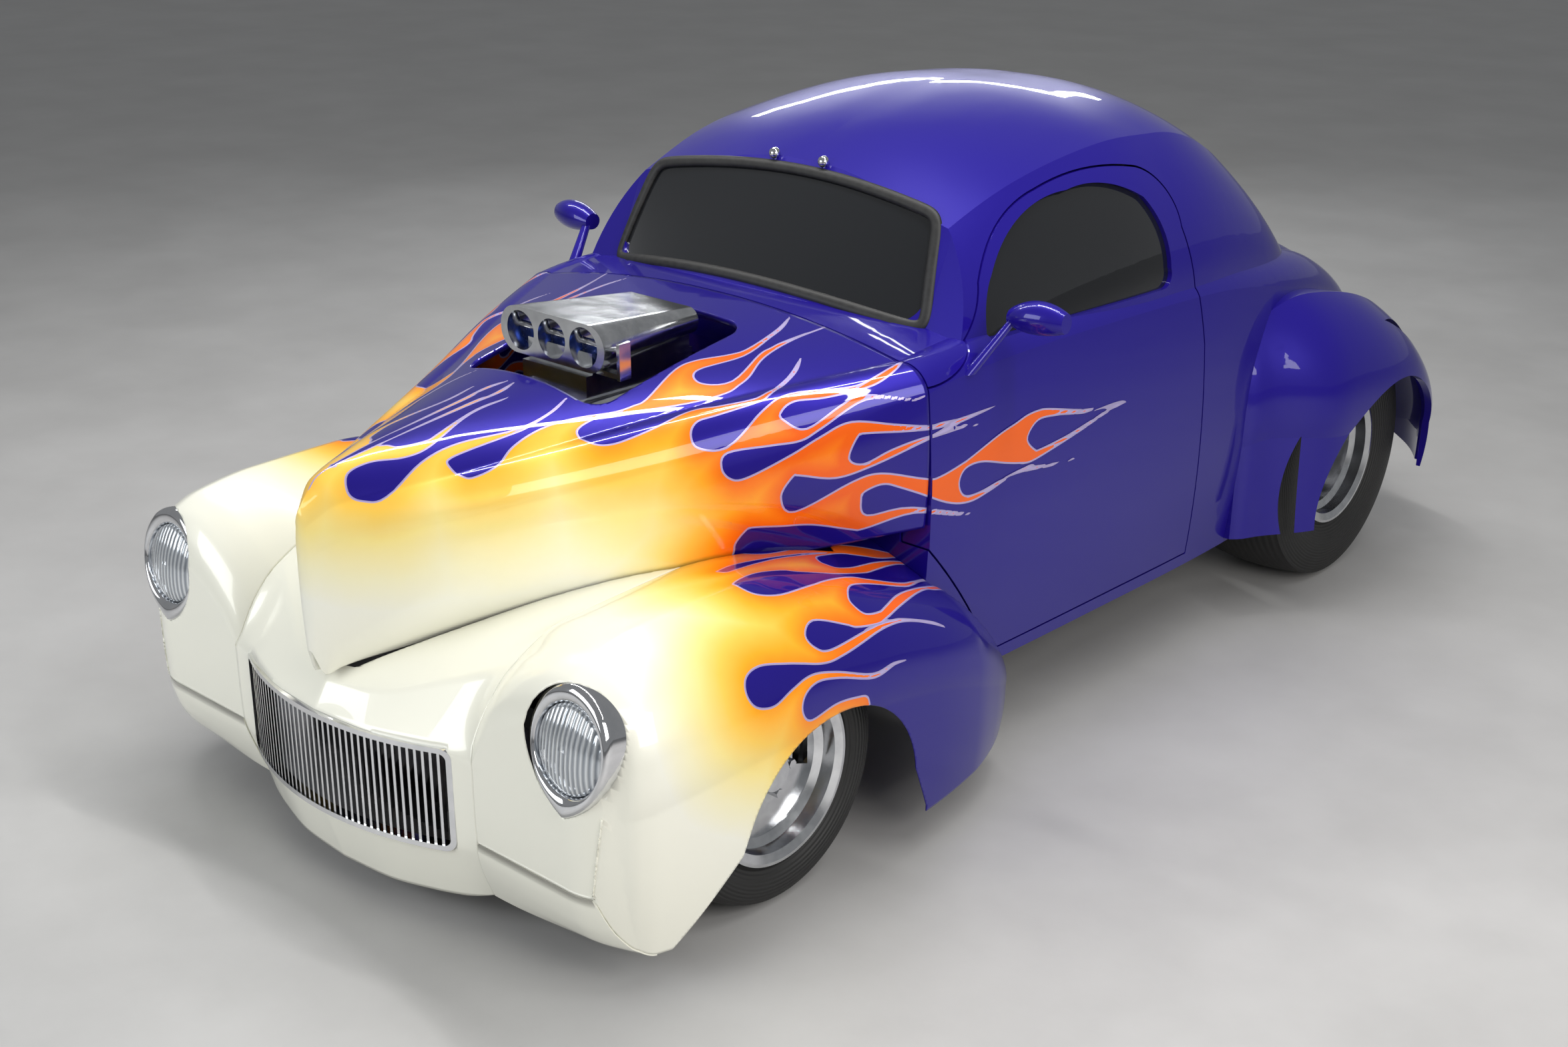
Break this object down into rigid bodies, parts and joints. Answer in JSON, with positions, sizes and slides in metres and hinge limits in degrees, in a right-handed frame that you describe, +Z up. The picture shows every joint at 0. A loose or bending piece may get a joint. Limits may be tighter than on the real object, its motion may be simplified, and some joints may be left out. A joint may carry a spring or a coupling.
{
  "type": "hot rod coupe",
  "caption": "Fastback hot rod coupe with separate fenders, opening doors, hood and trunk lid, steered front wheels and a polished intake scoop through the hood.",
  "frame": {"origin": "centre of the bounding box on the floor", "axes": "-Y to the front of the car, +X to its left side, +Z up"},
  "size_m": [1.7832, 3.987, 1.5573],
  "materials": {
    "blue_paint": "gloss",
    "flame_paint": "gloss",
    "cream_paint": "gloss",
    "black_paint": "satin",
    "polished": "polished",
    "chrome": "polished",
    "dark_glass": "tinted",
    "clear_glass": "fluted",
    "tyre": "matte",
    "steel": "satin",
    "cast": "rough",
    "hide": "satin",
    "plastic": "satin",
    "red_lens": "gloss"
  },
  "bodies": {
    "body": {"chassis_frame": "black_paint", "floor_pan": "black_paint", "body_shell": "blue_paint", "nose_panel": "cream_paint", "front_fender_left": "cream_paint", "front_fender_right": "cream_paint", "rear_fender_left": "blue_paint", "rear_fender_right": "blue_paint", "grille": "chrome", "headlamp_bezels": "chrome", "headlamps": "clear_glass", "windscreen": "dark_glass", "rear_window": "dark_glass", "engine_block": "cast", "blower": "polished", "scoop": "polished", "radiator": "plastic", "dashboard": "plastic", "seats": "hide", "steering_column": "plastic", "front_suspension": "black_paint", "rear_axle": "black_paint", "driveline": "steel", "exhaust": "steel", "tail_lamps": "red_lens"},
    "door_left": {"door_left": "blue_paint", "door_glass_left": "dark_glass", "mirror_left": "blue_paint"},
    "door_right": {"door_right": "blue_paint", "door_glass_right": "dark_glass", "mirror_right": "blue_paint"},
    "hood": {"hood": "flame_paint"},
    "trunk_lid": {"trunk_lid": "blue_paint"},
    "knuckle_left": {"knuckle_left": "steel"},
    "knuckle_right": {"knuckle_right": "steel"},
    "wheel_front_left": {"rim_front_left": "polished", "tyre_front_left": "tyre"},
    "wheel_front_right": {"rim_front_right": "polished", "tyre_front_right": "tyre"},
    "wheel_rear_left": {"rim_rear_left": "polished", "tyre_rear_left": "tyre"},
    "wheel_rear_right": {"rim_rear_right": "polished", "tyre_rear_right": "tyre"},
    "steering_wheel": {"steering_wheel": "plastic"}
  },
  "joints": [
    {"name": "steer_left", "type": "hinge", "parent": "body", "child": "knuckle_left", "pos_m": [0.66, -1.3315, 0.311], "axis": [0, 0, 1], "range_deg": [-15, 15]},
    {"name": "steer_right", "type": "hinge", "parent": "body", "child": "knuckle_right", "pos_m": [-0.66, -1.3315, 0.311], "axis": [0, 0, 1], "range_deg": [-15, 15]},
    {"name": "spin_front_left", "type": "hinge", "parent": "knuckle_left", "child": "wheel_front_left", "pos_m": [0.705, -1.3315, 0.311], "axis": [1, 0, 0], "continuous": true},
    {"name": "spin_front_right", "type": "hinge", "parent": "knuckle_right", "child": "wheel_front_right", "pos_m": [-0.705, -1.3315, 0.311], "axis": [1, 0, 0], "continuous": true},
    {"name": "spin_rear_left", "type": "hinge", "parent": "body", "child": "wheel_rear_left", "pos_m": [0.566, 1.2085, 0.382], "axis": [1, 0, 0], "continuous": true},
    {"name": "spin_rear_right", "type": "hinge", "parent": "body", "child": "wheel_rear_right", "pos_m": [-0.566, 1.2085, 0.382], "axis": [1, 0, 0], "continuous": true},
    {"name": "steering_wheel_turn", "type": "hinge", "parent": "body", "child": "steering_wheel", "pos_m": [0.335, -0.3215, 0.905], "axis": [0, 0.8829, 0.4695], "range_deg": [-225, 225]},
    {"name": "door_left_hinge", "type": "hinge", "parent": "body", "child": "door_left", "pos_m": [0.694, -0.7395, 0.65], "axis": [0, 0, -1], "range_deg": [0, 65]},
    {"name": "door_right_hinge", "type": "hinge", "parent": "body", "child": "door_right", "pos_m": [-0.694, -0.7395, 0.65], "axis": [0, 0, 1], "range_deg": [0, 65]},
    {"name": "hood_hinge", "type": "hinge", "parent": "body", "child": "hood", "pos_m": [0, -0.7435, 1.146], "axis": [-1, 0, 0], "range_deg": [0, 45]},
    {"name": "trunk_hinge", "type": "hinge", "parent": "body", "child": "trunk_lid", "pos_m": [0, 1.2565, 1.042], "axis": [1, 0, 0], "range_deg": [0, 60]}
  ],
  "couplings": [
    {"joint": "steer_right", "follows": "steer_left", "ratio": 1},
    {"joint": "steering_wheel_turn", "follows": "steer_left", "ratio": 15}
  ]
}
